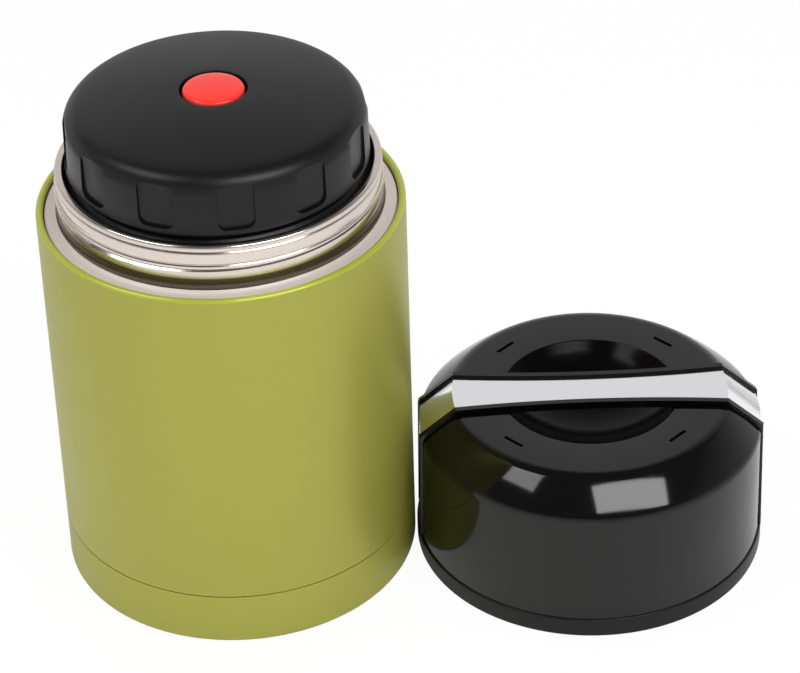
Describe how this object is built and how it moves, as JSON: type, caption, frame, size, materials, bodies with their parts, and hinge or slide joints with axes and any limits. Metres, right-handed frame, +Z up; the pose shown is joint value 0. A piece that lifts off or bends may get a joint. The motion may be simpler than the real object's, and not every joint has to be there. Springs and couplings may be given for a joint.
{
  "type": "insulated food jar",
  "caption": "Wide-mouth vacuum food jar with a screw stopper and steam button, and its handled cup lid standing beside it.",
  "frame": {"origin": "centre of the jar's base, on the table", "axes": "+Z up along the jar's axis, +X from the jar towards the cup lid that stands beside it"},
  "size_m": [0.2395, 0.12, 0.1794],
  "materials": {
    "green_paint": "satin metallic paint on steel",
    "polished_steel": "polished stainless steel",
    "drawn_steel": "drawn stainless steel",
    "black_satin": "moulded satin polypropylene",
    "black_gloss": "moulded gloss plastic",
    "red_button": "moulded gloss plastic",
    "silver_trim": "satin bright strip",
    "silicone": "moulded silicone",
    "foam": "closed-cell foam",
    "spring_steel": "spring wire",
    "copper_foil": "thin foil"
  },
  "bodies": {
    "jar": {"outer_casing": "green_paint", "base_cup": "green_paint", "vessel_outer_wall": "polished_steel", "inner_vessel": "drawn_steel", "heat_foil": "copper_foil", "vessel_bottom": "drawn_steel", "getter": "drawn_steel", "base_pad": "foam"},
    "gasket": {"stopper_gasket": "silicone"},
    "stopper": {"stopper_cap": "black_satin", "stopper_plug": "black_satin", "stopper_insulation": "foam", "valve_guide": "black_satin", "vent_spring": "spring_steel"},
    "vent": {"vent_button": "red_button", "vent_stem": "black_satin", "vent_seal": "silicone"},
    "cup": {"cup_collar": "black_satin", "cup_liner": "black_satin", "cup_shell": "black_gloss", "handle_frame": "black_gloss", "handle_trim": "silver_trim"}
  },
  "joints": [
    {"name": "stopper_rise", "type": "slide", "parent": "jar", "child": "gasket", "axis": [0, 0, 1], "range_m": [0, 0.0301]},
    {"name": "stopper_turn", "type": "hinge", "parent": "gasket", "child": "stopper", "pos_m": [0, 0, 0.15], "axis": [0, 0, 1], "range_deg": [0, 900]},
    {"name": "vent_press", "type": "slide", "parent": "stopper", "child": "vent", "axis": [0, 0, -1], "range_m": [0, 0.0025], "stiffness_N_per_m": 400, "springref_m": -0.0025, "deforming": ["vent_spring"]},
    {"name": "cup_lift", "type": "slide", "parent": "jar", "child": "cup", "axis": [0, 0, 1], "range_m": [0, 0.2]}
  ],
  "couplings": [
    {"joint": "stopper_rise", "follows": "stopper_turn", "m_per_rad": 0.0019099}
  ]
}
